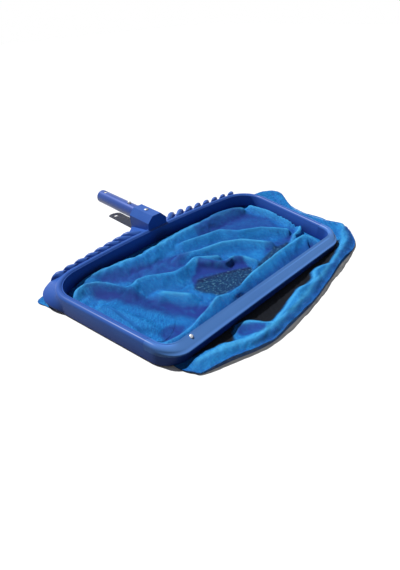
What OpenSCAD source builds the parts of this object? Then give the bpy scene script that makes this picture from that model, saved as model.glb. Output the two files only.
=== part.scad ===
// Leaf skimmer net: a flat scoop-fronted plastic frame with a ribbed back apron,
// a socket with a handle stub, a sprung button clip and a net bag lying folded.
// Millimetres. +X across the mouth, +Y towards the handle, +Z up, floor at z = 0.

/* [Net mouth] */
// Clear width between the side rails at the back corners
mouth_back_w = 508; // [460:1:540]
// Clear width between the side rails at the front
mouth_front_w = 422; // [400:1:440]
// Clear depth from the front edge to the back corners
mouth_d = 254; // [235:1:280]
// How far the back rail bows out at its middle
back_bow = 18.5; // [12:0.5:24]
// Inner radius of the back corners
back_corner_r = 50; // [42:1:58]
// Inner radius of the front corners
front_corner_r = 25; // [20:1:32]

/* [Rim] */
// Height of the rim's crown above the floor
rim_h = 33; // [31:0.5:40]
// Radius of the rounded crown
crown_r = 6; // [5.5:0.25:6.5]
// Distance of the crown's ridge from the inner wall
crown_d = 7; // [6.5:0.25:8]
// Width of the rim at its foot
foot_w = 16; // [15.5:0.5:20]
// Radius of the thin bead along the inner edge
bead_r = 1.1; // [0.8:0.1:1.4]
// Wall of the frame mouldings
wall = 2.4; // [2:0.1:2.8]
// Length of the front moulding's straight ends
front_stub = 14; // [12:1:20]

/* [Scoop lip] */
// Width of the lip strip along its slope
lip_w = 20.6; // [20:0.2:24]
// Downward slope of the lip
lip_slope = 32; // [26:1:34]
// Thickness of the lip strip
lip_t = 2.4; // [1.8:0.1:3]
// Height of the lip's inner edge
lip_h = 30.5; // [29:0.5:33]
// Width of the front moulding under the lip
front_w = 15; // [15:0.25:15.5]
// Distance of the lip rivet from the mouth's front corner
rivet_in = 38; // [30:1:80]
// Radius of the lip rivet's shank
rivet_r = 1.6; // [1.2:0.1:2]

/* [Back apron] */
// Distance of the apron's outer edge from the back rail at the centre
apron_run = 53; // [48:1:58]
// Sweep-back angle of the apron's outer edge
apron_sweep = 10.3; // [9:0.1:11]
// Thickness of the apron plate
apron_t = 3; // [2.4:0.1:3.6]
// Height of the apron's outer edge
apron_edge_h = 20; // [18:0.5:22]
// Number of ribs on each side
rib_count = 8; // [6:1:8]
// Spacing of the ribs along the rim
rib_pitch = 25.2; // [23:0.1:25.4]
// Distance of the first rib from the centre
rib_first = 38; // [37:0.1:40]
// Outward lean of the first rib over its length
rib_lean = 30; // [24:1:32]
// Depth of the half-round ribs' rounding
rib_r = 7; // [5:0.25:8]
// Height of the ribs above the rim's crown
rib_over = 1.3; // [0.5:0.1:2.5]

/* [Socket and handle] */
// Width of the socket housing
socket_w = 47; // [45:1:52]
// Height of the housing's top
socket_h = 59.5; // [59:0.5:66]
// Width and drop of the housing's chamfered corners
socket_chamfer = 13; // [8:0.5:13]
// Length of the housing past the back rail
socket_len = 67; // [64:1:90]
// Depth of the bore that takes the tube
socket_depth = 56; // [52:1:58]
// Outer diameter of the handle tube
tube_d = 30; // [28:0.1:31]
// Wall of the handle tube
tube_wall = 1.6; // [1.2:0.1:2]
// Length of tube outside the socket
tube_out = 139; // [110:1:150]
// Height of the tube's axis
tube_z = 41.5; // [41:0.5:43]
// Radial clearance of the tube in its socket
tube_fit = 0.05; // [0.03:0.01:0.1]
// Diameter of the lock hole near the tube's end
lock_hole_d = 8; // [6:0.5:9]
// Distance of the lock hole from the tube's end
lock_hole_in = 17; // [14:1:25]

/* [Button clip] */
// Distance of the buttons from the socket's mouth
button_out = 30; // [28:1:40]
// Diameter of the buttons
button_d = 6.4; // [5.5:0.1:7]
// How far the buttons stand out of the tube
button_travel = 5; // [4:0.25:5.5]
// Gap between button and hole
button_gap = 1.1; // [1:0.05:1.3]
// Width of the clip's spring strip
clip_w = 9; // [7:0.5:10]
// Thickness of the clip's spring strip
clip_t = 1.8; // [1.4:0.1:2]
// Length of each clip arm from bend to button
clip_arm = 48; // [46:1:50]
// Radius of the clip's bend
clip_bend_r = 5; // [4:0.25:5.5]

/* [Fixings] */
// Diameter of the screw through the socket
bolt_d = 4.8; // [4:0.2:6]
// Distance of that screw behind the socket's mouth
bolt_in = 29.5; // [28:0.5:31]
// Diameter of the small self-tapping screws
screw_d = 2.6; // [2.2:0.1:3]
// Head diameter of the small screws
screw_head_d = 5; // [4.4:0.1:5.2]
// Distance of the screw line from the inner wall
screw_line = 9.6; // [9.4:0.1:9.8]
// Clearance between fitted pieces
fit_gap = 0.1; // [0.05:0.05:0.2]

/* [Net bag] */
// Thickness of the folded net on the floor
net_pad = 3; // [2:0.25:4]
// Height of the tallest fold inside the mouth
fold_h = 18; // [14:0.5:19]
// Diameter of the cord in the net's hem
hem_cord_d = 2.6; // [2:0.1:2.8]
// Thickness of the hem's cloth
hem_t = 0.7; // [0.5:0.05:0.8]
// Thickness of the retainer strips
strip_t = 5.4; // [4.6:0.2:6]
// Width of the seam binding
seam_w = 10; // [8:1:14]

/* [Hidden] */

frame_blue = [0.12, 0.27, 0.62];
lip_blue = [0.27, 0.46, 0.78];
net_blue = [0.10, 0.50, 0.82];
strip_blue = [0.10, 0.20, 0.48];
clip_white = [0.93, 0.93, 0.90];
steel = [0.78, 0.78, 0.76];

bore_fn = 64;
bow_fn = 720;
eps = 0.01;

// Plan of the mouth's right half: a slanted side line from the back corner forwards.
function dot(a, b) = a[0] * b[0] + a[1] * b[1];
function polar(r, a) = [r * cos(a), r * sin(a)];
back_corner = [mouth_back_w / 2, mouth_d / 2];
front_y = -mouth_d / 2;
side_a = atan((mouth_back_w - mouth_front_w) / 2 / mouth_d);
side_u = [-sin(side_a), -cos(side_a)];
side_n = [cos(side_a), -sin(side_a)];
bow_r = (pow(mouth_back_w / 2, 2) + pow(back_bow, 2)) / (2 * back_bow);
bow_c = [0, mouth_d / 2 + back_bow - bow_r];
back_y = bow_c[1] + bow_r;
corner_q = back_corner - back_corner_r * side_n - bow_c;
corner_qu = dot(corner_q, side_u);
corner_t = -corner_qu
  - sqrt(pow(corner_qu, 2) - dot(corner_q, corner_q) + pow(bow_r - back_corner_r, 2));
back_c = bow_c + corner_q + corner_t * side_u;
bow_a = atan2(back_c[0] - bow_c[0], back_c[1] - bow_c[1]);
front_t = (mouth_d + front_corner_r * (sin(side_a) - 1)) / cos(side_a);
front_c = back_corner - front_corner_r * side_n + front_t * side_u;
seam_t = front_t - front_stub;

// A straight run: children are 2D profiles in (distance outwards, height).
module straight_run(start, turn, len) {
  translate([start[0], start[1], 0])
    rotate([0, 0, turn])
      rotate([90, 0, 0])
        linear_extrude(height = len)
          children();
}
module side_run(from, to)
  straight_run(back_corner + from * side_u, -side_a, to - from) children();
module front_run(inset = 0) {
  half = front_c[0] - inset;
  straight_run([half, front_y], -90, 2 * half) children();
}
module both_sides() {
  children();
  mirror([1, 0, 0]) children();
}

// Stations on the mouth's inner line: [place, outward direction], clockwise from above.
bow_steps = 7;
back_corner_steps = 12;
front_corner_steps = 8;
function arc_stations(centre, r, from, to, n) = [
  for (i = [0:n]) let (a = from + (to - from) * i / n) [centre + polar(r, a), polar(1, a)]
];
function side_station(t) = [back_corner + t * side_u, side_n];
function tail(v) = [for (i = [1:len(v) - 1]) v[i]];
function mirrored(stations) = [
  for (i = [len(stations) - 1:-1:0])
    let (s = stations[i])
    [[-s[0][0], s[0][1]], [-s[1][0], s[1][1]]]
];
bow_half = tail(arc_stations(bow_c, bow_r, 90, 90 - bow_a, bow_steps));
back_corner_half = tail(arc_stations(back_c, back_corner_r, 90 - bow_a, -side_a, back_corner_steps));
front_corner_half = arc_stations(front_c, front_corner_r, -side_a, -90, front_corner_steps);
back_middle = [[[0, back_y], [0, 1]]];
function rail_stations(end_t) =
  let (half = concat(bow_half, back_corner_half, [side_station(end_t)]))
  concat(mirrored(half), back_middle, half);
mouth_half = concat(bow_half, back_corner_half, front_corner_half);
mouth_stations = concat(back_middle, mouth_half, mirrored(mouth_half));
front_half = concat([side_station(seam_t + 0.1)], front_corner_half);
front_stations = concat(front_half, mirrored(front_half));

// Lofts one section per station; each lists its points counter-clockwise in
// (distance outwards, height).
module loft(sections, stations, closed = false) {
  m = len(sections[0]);
  n = len(stations);
  last = closed ? n - 1 : n - 2;
  function at(i, k) = (i % n) * m + k % m;
  polyhedron(
    points = [
      for (i = [0:n - 1], p = sections[i])
        let (q = stations[i][0] + p[0] * stations[i][1])
        [q[0], q[1], p[1]]
    ],
    faces = concat(
      [for (i = [0:last], k = [0:m - 1]) [at(i, k), at(i + 1, k), at(i + 1, k + 1)]],
      [for (i = [0:last], k = [0:m - 1]) [at(i, k), at(i + 1, k + 1), at(i, k + 1)]],
      closed ? [] : [[for (k = [0:m - 1]) at(0, k)]],
      closed ? [] : [[for (k = [m - 1:-1:0]) at(n - 1, k)]]
    )
  );
}
module sweep(section, stations, closed = false)
  loft([for (s = stations) section], stations, closed);
function arc_points(centre, r, from, to, n) = [
  for (i = [0:n]) centre + polar(r, from + (to - from) * i / n)
];
// Places on the loop, at a distance outwards from the inner wall.
function side_point(t, d) = back_corner + t * side_u + d * side_n;
function bow_point(a, d) = bow_c + polar(bow_r + d, 90 - a);

// Rim section: upright inner wall, bead, rounded crown and sloping outer wall.
crown_c = [crown_d, rim_h - crown_r];
ledge_h = rim_h - 3;
foot = [foot_w, net_pad];
foot_v = foot - crown_c;
tangent_a = atan2(foot_v[1], foot_v[0]) + acos(crown_r / norm(foot_v));
tangent = crown_c + polar(crown_r, tangent_a);
outer_e = (foot - tangent) / norm(foot - tangent);
crown_steps = 9;
rim_top = concat(
  arc_points(crown_c, crown_r, tangent_a, 150, crown_steps),
  [[bead_r * 2, ledge_h]],
  arc_points([bead_r, ledge_h], bead_r, 30, 180, 3)
);
rim_section = concat([[0, net_pad], foot], rim_top);
inner_crown_r = crown_r - wall;
hollow_foot = foot - polar(wall, tangent_a) + 2 * outer_e;
rim_hollow = concat(
  [[wall, net_pad - 1], hollow_foot],
  arc_points(crown_c, inner_crown_r, tangent_a, 180, 7),
  [[wall, crown_c[1] - crown_r / 2]]
);

// Heights inside the channel under the rim, from the floor up.
strip_z = net_pad + 3 * fit_gap;
strip_top = strip_z + strip_t;
splice_z = strip_top + 3 * fit_gap;
splice_t = 2.6;
splice_top = splice_z + splice_t;
hem_r = hem_cord_d / 2 + hem_t;
hem_d = wall + fit_gap + hem_r;
hem_z = strip_top + hem_r + fit_gap;
channel_top = splice_top + 2 * wall;
strip_in = wall + hem_t + 3 * fit_gap;
strip_out = screw_line + screw_head_d / 2 + 0.4;
boss_r = screw_d / 2 + 1.5;
screw_len = strip_t + 8;

// Apron: a shelf that falls from the crown to its outer edge, with half-round ribs that
// lean outwards and end in rounded noses.
apron_in = crown_d + 4;
apron_in_h = rim_h - 2.5;
apron_y0 = back_y + apron_run;
fan_r_in = back_corner_r + apron_in;
corner_split_x = back_c[0] + fan_r_in * sin(bow_a);
function crown_y(x) = x < corner_split_x
  ? bow_c[1] + sqrt(pow(bow_r + apron_in, 2) - x * x)
  : back_c[1] + sqrt(pow(fan_r_in, 2) - pow(x - back_c[0], 2));
// Near the housing the outer edge runs back along its side in a fillet.
fillet_to = 62;
fillet_back = 17;
function fillet(x) = pow(max(0, (fillet_to - x) / (fillet_to - socket_w / 2)), 2);
function edge_y(x) = apron_y0 - tan(apron_sweep) * x + fillet_back * fillet(x);
lean_loss = 0.065;
function lean(x) = rib_lean - lean_loss * (x - rib_first);
function edge_point(x) = [x + lean(x), edge_y(x + lean(x))];
run_steps = [0, 0.12, 0.5, 0.72, 0.86, 0.95, 1];
function plate_h(v, edge_h) = apron_in_h + (edge_h - apron_in_h) * v;
rib_top_h = rim_h + rib_over;
rib_root_drop = 3;
nose_from = 0.55;
nose_drop = rib_top_h - apron_edge_h - 0.8 * rib_r;
function rib_crest(v) = rib_top_h
  - (v < run_steps[1] ? rib_root_drop : 0)
  - nose_drop * pow(max(0, (v - nose_from) / (1 - nose_from)), 2.5);
rib_half = 0.36 * rib_pitch;
rib_steps = [-1.04, -0.97, -0.8, -0.45, 0, 0.45, 0.8, 0.97, 1.04];
function rib_fall(u) = abs(u) < 1 ? rib_r * (1 - sqrt(1 - u * u)) : 100;
// One cross row of the apron: a lower and an upper point at each step of its run.
function apron_row(p_in, p_out, edge_h, u = 2, lift = 0) = [
  for (v = run_steps)
    let (p = p_in + v * (p_out - p_in), h = plate_h(v, edge_h))
    [[p[0], p[1], max(net_pad + lift, h - apron_t)],
     [p[0], p[1], max(h, rib_crest(v) - rib_fall(u))]]
];
function rib_row(k, u) =
  let (x = rib_first + k * rib_pitch + u * rib_half)
  apron_row([x, crown_y(x)], edge_point(x), apron_edge_h, u);
// Rows beside the housing, from just inside it to the first rib.
beside_from = socket_w / 2 - 1;
beside_to = rib_first - 1.1 * rib_half;
beside_steps = 4;
function beside_row(w) =
  let (x = beside_from + (beside_to - beside_from) * w,
       x_out = beside_from + (beside_to + lean(beside_to) - beside_from) * w)
  apron_row([x, crown_y(x)], [x_out, edge_y(x_out)], apron_edge_h);
// Rows that fan round the back corner, narrowing to the side rail's foot.
fan_x = rib_first + (rib_count - 1) * rib_pitch + 1.1 * rib_half;
fan_from_out = edge_point(fan_x) - back_c;
fan_a_out = atan2(fan_from_out[1], fan_from_out[0]);
fan_r_out = norm(fan_from_out);
fan_a_in = acos((fan_x - back_c[0]) / fan_r_in);
fan_steps = 16;
fan_end_a = side_a - 0.7;
fan_lift = 1;
fan_foot_r = back_corner_r + foot_w - wall / 2;
fan_swell = 7;
function fan_row(w) =
  let (
    a_in = fan_a_in * (1 - w) - fan_end_a * w,
    a_out = fan_a_out * (1 - w) - fan_end_a * w,
    r_out = fan_foot_r + (fan_r_out - fan_foot_r) * sin(90 * pow(1 - w, 1.25))
      + fan_swell * pow(sin(180 * pow(w, 0.7)), 2),
    edge_h = apron_edge_h + (net_pad + 2 * fan_lift - apron_edge_h) * w
  )
  apron_row(back_c + polar(fan_r_in, a_in), back_c + polar(r_out, a_out), edge_h, 2, fan_lift * w);
half_rows = concat(
  [for (i = [0:beside_steps]) beside_row(i / beside_steps)],
  [for (k = [0:rib_count - 1], u = rib_steps) rib_row(k, u)],
  [for (i = [0:fan_steps]) fan_row(i / fan_steps)]
);
function flip_row(row) = [for (p = row) [for (q = p) [-q[0], q[1], q[2]]]];
row_n = len(run_steps);
half_n = len(half_rows);
apron_rows = concat([for (i = [half_n - 1:-1:0]) flip_row(half_rows[i])], half_rows);
apron_n = len(apron_rows);
function low(i, j) = 2 * (i * row_n + j);
function high(i, j) = low(i, j) + 1;
function quad(a, b, c, d) = [[a, b, c], [a, c, d]];
apron_quads = concat(
  [for (i = [0:apron_n - 2], j = [0:row_n - 2])
    quad(high(i, j), high(i, j + 1), high(i + 1, j + 1), high(i + 1, j))],
  [for (i = [0:apron_n - 2], j = [0:row_n - 2])
    quad(low(i, j), low(i + 1, j), low(i + 1, j + 1), low(i, j + 1))],
  [for (i = [0:apron_n - 2])
    quad(low(i, 0), high(i, 0), high(i + 1, 0), low(i + 1, 0))],
  [for (i = [0:apron_n - 2])
    quad(low(i, row_n - 1), low(i + 1, row_n - 1), high(i + 1, row_n - 1), high(i, row_n - 1))],
  [for (j = [0:row_n - 2])
    quad(low(0, j), low(0, j + 1), high(0, j + 1), high(0, j))],
  [for (j = [0:row_n - 2])
    quad(low(apron_n - 1, j), high(apron_n - 1, j), high(apron_n - 1, j + 1), low(apron_n - 1, j + 1))]
);
module apron() {
  polyhedron(
    points = [for (row = apron_rows, p = row, q = p) q],
    faces = [for (two = apron_quads, t = two) t]
  );
}

// Socket housing: upright sides, sloping shoulders and a flat top over the tube.
socket_front_y = back_y + 2 * bead_r + 1.5;
socket_mouth_y = back_y + socket_len;
bolt_y = socket_mouth_y - bolt_in;
nut_h = 4;
nut_w = 8;
nut_z = net_pad + 9;
module socket_block() {
  half = socket_w / 2;
  straight_run([0, socket_mouth_y], 0, socket_mouth_y - socket_front_y)
    polygon([
      [-half, net_pad],
      [half, net_pad],
      [half, socket_h - socket_chamfer],
      [half - socket_chamfer, socket_h],
      [socket_chamfer - half, socket_h],
      [-half, socket_h - socket_chamfer]
    ]);
}
module along_y(y, z, r, len) {
  translate([0, y, z])
    rotate([-90, 0, 0])
      cylinder(r = r, h = len, $fn = bore_fn);
}

// Screw places: on the bowed back, on each side and along the front.
back_screw_as = [for (k = [-1.5:1:1.5]) k * bow_a / 2];
side_screw_ts = [for (k = [0.12, 0.6]) corner_t + k * (seam_t - corner_t)];
front_screw_xs = [for (k = [-0.75, 0, 0.75]) k * front_c[0]];
splice_in_t = seam_t - 10;
splice_out_t = seam_t + 7;
module at_points(points) {
  for (p = points)
    translate([p[0], p[1], 0])
      children();
}
back_screw_points = [for (a = back_screw_as) bow_point(a, screw_line)];
side_screw_points = [for (t = side_screw_ts) side_point(t, screw_line)];
front_screw_points = [for (x = front_screw_xs) [x, front_y - screw_line]];
module rail_screw_places() {
  at_points(back_screw_points) children();
  both_sides() at_points(side_screw_points) children();
}
module boss(from) translate([0, 0, from]) cylinder(r = boss_r, h = rim_h - wall / 2 - from, $fn = 32);
module pilot(from) translate([0, 0, from - 1])
  cylinder(r = screw_d / 2 + fit_gap / 2, h = screw_len + 2, $fn = 32);

notch_in = wall - fit_gap;
notch_out = strip_out + wall / 2;
seam_notch = [
  [notch_in, net_pad - 1], [notch_out, net_pad - 1], [notch_out, channel_top], [notch_in, channel_top]
];
module frame() {
  color(frame_blue)
    difference() {
      union() {
        sweep(rim_section, rail_stations(seam_t));
        apron();
        socket_block();
      }
      difference() {
        sweep(rim_hollow, rail_stations(seam_t - wall));
        rail_screw_places() boss(strip_top);
        both_sides() at_points([side_point(splice_in_t, screw_line)]) boss(splice_top);
      }
      both_sides() side_run(seam_t - 2 * wall, seam_t + 1) polygon(seam_notch);
      rail_screw_places() pilot(strip_top);
      both_sides() at_points([side_point(splice_in_t, screw_line)]) pilot(splice_top);
      along_y(socket_mouth_y - socket_depth, tube_z, tube_d / 2 + tube_fit, socket_depth + 1);
      translate([0, bolt_y, net_pad - 1])
        cylinder(r = bolt_d / 2 + fit_gap, h = socket_h, $fn = 48);
      translate([0, bolt_y, net_pad - 1])
        cylinder(r = nut_w / sqrt(3) + 2 * fit_gap, h = nut_z + nut_h + fit_gap - net_pad + 1, $fn = 6);
    }
}

// Front moulding: a channel with a sloping top that carries the lip strip.
function lip_top(d) = lip_h - d * tan(lip_slope);
lip_drop = lip_t / cos(lip_slope) + fit_gap;
function bed_top(d) = lip_top(d) - lip_drop;
function bed_under(d) = bed_top(d) - wall / cos(lip_slope);
far_wall = front_w - wall;
function bed_section(out_foot, out_top) = [
  [0, net_pad], [wall, net_pad], [wall, bed_under(wall)], [far_wall, bed_under(far_wall)],
  [far_wall, net_pad], out_foot, out_top, [0, bed_top(0)]
];
flat_bed = bed_section([front_w, net_pad], [front_w, bed_top(front_w)]);
// At each seam the front pieces take the rail's rounded shape, and blend to the flat
// lip round the corner. The rail's outer wall meets the bed's top and the lip's underside.
function outer_meets(h0) =
  let (s = (h0 - foot[1] - foot[0] * tan(lip_slope)) / (outer_e[1] + outer_e[0] * tan(lip_slope)))
  foot + s * outer_e;
rail_bed = bed_section(foot, outer_meets(bed_top(0)));
function smooth(t) = t * t * (3 - 2 * t);
corner_shares = concat([0], [for (i = [0:front_corner_steps]) smooth(i / front_corner_steps)]);
front_shares = concat(corner_shares, [for (i = [len(corner_shares) - 1:-1:0]) corner_shares[i]]);
function blended(rail, flat) = [for (w = front_shares) rail + w * (flat - rail)];
front_boss_h = bed_top(screw_line) - wall / 2;
module front_boss(from) translate([0, 0, from]) cylinder(r = boss_r, h = front_boss_h - from, $fn = 32);
module front_pilot(from) translate([0, 0, from - 1])
  cylinder(r = screw_d / 2 + fit_gap / 2, h = front_boss_h - from, $fn = 32);
rivet_x = mouth_front_w / 2 - rivet_in;
rivet_d = 4.5;
module at_rivet() {
  translate([-rivet_x, front_y - rivet_d, lip_top(rivet_d)])
    rotate([lip_slope, 0, 0])
      children();
}
module front_edge() {
  color(frame_blue)
    difference() {
      union() {
        loft(blended(rail_bed, flat_bed), front_stations);
        at_points(front_screw_points) front_boss(strip_top);
        both_sides() at_points([side_point(splice_out_t, screw_line)]) front_boss(splice_top);
      }
      at_points(front_screw_points) front_pilot(strip_top);
      both_sides() at_points([side_point(splice_out_t, screw_line)]) front_pilot(splice_top);
      at_rivet()
        translate([0, 0, -3 * wall])
          cylinder(r = rivet_r + fit_gap / 2, h = 3 * wall, $fn = 32);
    }
}

// Lip strip: a flat strip with a raised bead along its outer edge.
lip_end = [lip_w * cos(lip_slope), lip_top(lip_w * cos(lip_slope))];
lip_down = [-sin(lip_slope) * lip_t, -cos(lip_slope) * lip_t];
lip_bead_r = lip_t / 2 + 0.4;
lip_under = lip_h - lip_t / cos(lip_slope);
lip_edge_steps = 7;
flat_lip = concat(
  [[0, lip_under]],
  arc_points(lip_end + lip_down / 2, lip_bead_r, -140 - lip_slope, 140 - lip_slope, lip_edge_steps),
  [for (i = [0:crown_steps]) [rim_top[i][0], lip_top(rim_top[i][0])]],
  [for (i = [4:-1:0]) let (d = rim_top[crown_steps][0] * i / 5) [d, lip_top(d)]]
);
rail_lip_foot = outer_meets(lip_under);
rail_lip = concat(
  [[0, lip_under]],
  [for (i = [0:lip_edge_steps]) rail_lip_foot + (tangent - rail_lip_foot) * i / (lip_edge_steps + 1)],
  rim_top
);
module scoop_lip() {
  color(lip_blue)
    difference() {
      loft(blended(rail_lip, flat_lip), front_stations);
      at_rivet()
        translate([0, 0, -2 * lip_t])
          cylinder(r = rivet_r + fit_gap / 2, h = 3 * lip_t, $fn = 32);
    }
}
rivet_grip = lip_t + wall + fit_gap;
module lip_rivet() {
  head_r = 1.9 * rivet_r;
  color(steel)
    at_rivet() {
      intersection() {
        translate([0, 0, -head_r / 2]) sphere(r = head_r * 1.2, $fn = 48);
        translate([0, 0, fit_gap / 2]) cylinder(r = head_r, h = head_r, $fn = 48);
      }
      translate([0, 0, -rivet_grip])
        cylinder(r = rivet_r, h = rivet_grip + fit_gap, $fn = 32);
    }
}

// Retainer strips close the channel and clamp the net's hem.
module strip_section() {
  translate([strip_in, strip_z]) square([strip_out - strip_in, strip_t]);
}
module strip_holes(points) {
  at_points(points) {
    translate([0, 0, strip_z - 1]) cylinder(r = screw_d / 2 + fit_gap, h = strip_t + 2, $fn = 32);
    translate([0, 0, strip_z - 1])
      cylinder(r = screw_head_d / 2 + fit_gap, h = 3, $fn = 32);
  }
}
strip_clear = 3;
module retainer_back() {
  half_angle = bow_a - 0.15;
  color(strip_blue)
    difference() {
      translate([bow_c[0], bow_c[1], 0])
        rotate_extrude(angle = 2 * half_angle, start = 90 - half_angle, $fn = bow_fn)
          translate([bow_r, 0])
            strip_section();
      strip_holes(back_screw_points);
    }
}
module side_strip() {
  color(strip_blue)
    difference() {
      side_run(corner_t + strip_clear, front_t - strip_clear) strip_section();
      strip_holes(side_screw_points);
      strip_holes([for (t = [splice_in_t, splice_out_t]) side_point(t, screw_line)]);
    }
}
module retainer_right() side_strip();
module retainer_left() mirror([1, 0, 0]) side_strip();
module retainer_front() {
  color(strip_blue)
    difference() {
      front_run(strip_clear) strip_section();
      strip_holes(front_screw_points);
    }
}
module small_screw() {
  translate([0, 0, strip_z + 0.2]) cylinder(r = screw_head_d / 2, h = 1.7, $fn = 32);
  translate([0, 0, strip_z + 1]) cylinder(r = screw_d / 2, h = screw_len - 1, $fn = 32);
}
module retainer_screws() {
  color(steel) {
    rail_screw_places() small_screw();
    at_points(front_screw_points) small_screw();
  }
}

// Splice plates join the front moulding to the rails across each seam.
module splice_plate() {
  end_gap = boss_r + 1.5;
  color(strip_blue)
    difference() {
      side_run(splice_in_t - end_gap, splice_out_t + end_gap)
        translate([screw_line - boss_r + 0.3, splice_z])
          square([2 * boss_r - 0.6, splice_t]);
      at_points([for (t = [splice_in_t, splice_out_t]) side_point(t, screw_line)])
        translate([0, 0, splice_z - 1])
          cylinder(r = screw_d / 2 + fit_gap, h = splice_t + 2, $fn = 32);
    }
}
module splice_right() splice_plate();
module splice_left() mirror([1, 0, 0]) splice_plate();
module splice_screws() {
  color(steel)
    both_sides()
      at_points([for (t = [splice_in_t, splice_out_t]) side_point(t, screw_line)])
        small_screw();
}

// Hem of the net: a sleeve round its cord and a tail down the inner wall.
module net_hem() {
  tail_d = wall + fit_gap;
  color(net_blue)
    difference() {
      sweep(
        concat([[tail_d, net_pad], [tail_d + hem_t, net_pad]],
               arc_points([hem_d, hem_z], hem_r, -150, 180, 9)),
        mouth_stations, closed = true
      );
      sweep(arc_points([hem_d, hem_z], hem_cord_d / 2 + fit_gap / 2, 0, 315, 7), mouth_stations, closed = true);
    }
}
module hem_cord() {
  color(clip_white)
    sweep(arc_points([hem_d, hem_z], hem_cord_d / 2, 0, 315, 7), mouth_stations, closed = true);
}

// Net bag, lying folded on the floor. Places on the floor are in hundredths of the mouth's
// half width and half depth: [x, y], and [x, y, half width, share of the fold height].
function net_place(p) = [p[0] * mouth_back_w / 200, p[1] * mouth_d / 200];
function net_places(points) = [for (p = points) net_place(p)];
net_outline = [
  [-107, 124], [-109, 93], [-101, 31], [-94, -47], [-89, -88], [-81, -124],
  [-72, -132], [-59, -140], [-46, -153], [-35, -160], [-18, -163], [3, -163],
  [31, -157], [51, -150], [80, -136], [98, -123], [114, -96], [119, -79],
  [117, -6], [122, 28], [142, 88], [131, 109], [103, 115], [55, 124],
  [0, 129], [-55, 124]
];
fold_lines = [
  [[-76, -84, 8, 0.5], [-51, -80, 13, 1], [-25, -76, 15, 1], [2, -71, 16, 1],
   [33, -66, 17, 1], [68, -63, 12, 0.7]],
  [[-89, 69, 8, 0.4], [-81, 77, 13, 0.9], [-73, 72, 14, 0.9], [-65, 60, 13, 0.9],
   [-57, 39, 9, 0.5]],
  [[-55, 44, 9, 0.6], [-35, 30, 13, 0.9], [-5, 13, 14, 0.9], [2, -6, 14, 0.9],
   [6, -27, 8, 0.4]],
  [[16, 22, 9, 0.6], [38, 8, 14, 0.9], [57, -12, 15, 0.9], [76, -31, 9, 0.5]],
  [[-59, 88, 8, 0.4], [-28, 85, 12, 0.6], [8, 88, 13, 0.7], [43, 90, 13, 0.7],
   [77, 79, 9, 0.5]],
  [[77, 47, 9, 0.5], [81, 24, 12, 0.8], [77, 0, 9, 0.5]]
];
outer_fold_lines = [
  [[-59, -132, 6, 0.3], [-38, -145, 14, 0.6], [-17, -146, 16, 0.75], [4, -146, 17, 0.8],
   [31, -142, 17, 0.8], [55, -135, 17, 0.8], [81, -126, 14, 0.75], [101, -107, 13, 0.5]],
  [[109, -83, 12, 0.4], [111, -47, 12, 0.5], [111, 0, 12, 0.4]]
];
fold_sides = 7;
fold_sink = 1;
// A low mound along a crest line, with a half-elliptical cross section.
module fold(line) {
  n = len(line);
  crest = net_places(line);
  function heading(i) =
    let (a = crest[max(i - 1, 0)], b = crest[min(i + 1, n - 1)])
    atan2(b[1] - a[1], b[0] - a[0]);
  function ring(i) = [
    for (k = [0:fold_sides - 1])
      let (
        s = 180 * k / (fold_sides - 1),
        q = crest[i] + polar(line[i][2] * cos(s), heading(i) - 90)
      )
      [q[0], q[1],
       net_pad - fold_sink + (fold_sink + fold_h * line[i][3]) * sin(s)]
  ];
  function at(i, k) = i * fold_sides + k % fold_sides;
  polyhedron(
    points = [for (i = [0:n - 1], p = ring(i)) p],
    faces = concat(
      [for (i = [0:n - 2], k = [0:fold_sides - 1]) [at(i, k), at(i, k + 1), at(i + 1, k + 1)]],
      [for (i = [0:n - 2], k = [0:fold_sides - 1]) [at(i, k), at(i + 1, k + 1), at(i + 1, k)]],
      [[for (k = [fold_sides - 1:-1:0]) at(0, k)]],
      [[for (k = [0:fold_sides - 1]) at(n - 1, k)]]
    )
  );
}
gusset_right_outline = [
  [120, 31], [139, 87], [130, 104], [109, 109], [109, 76], [106, 39]
];
gusset_left_outline = [
  [-85, 31], [-59, 24], [-55, -31], [-63, -61], [-79, -65]
];
gusset_t = 2;
module net_panel() {
  color(net_blue) {
    linear_extrude(height = net_pad) polygon(net_places(net_outline));
    for (line = concat(fold_lines, outer_fold_lines)) fold(line);
  }
}
module gusset(outline) {
  color(net_blue)
    translate([0, 0, net_pad])
      linear_extrude(height = gusset_t)
        polygon(net_places(outline));
}
module gusset_left() gusset(gusset_left_outline);
module gusset_right() gusset(gusset_right_outline);
// Bound seams lie on the gussets, along their inner edges.
module seam(from, to) {
  a = net_place(from);
  b = net_place(to);
  len = norm(b - a);
  color(strip_blue)
    translate([a[0], a[1], net_pad + gusset_t])
      rotate([0, 0, atan2(b[1] - a[1], b[0] - a[0])])
        translate([0, -seam_w / 2, 0])
          cube([len, seam_w, hem_t]);
}
module seam_left() seam([-80, -55], [-81, 25]);
module seam_right() seam([118, 44], [133, 88]);

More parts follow.
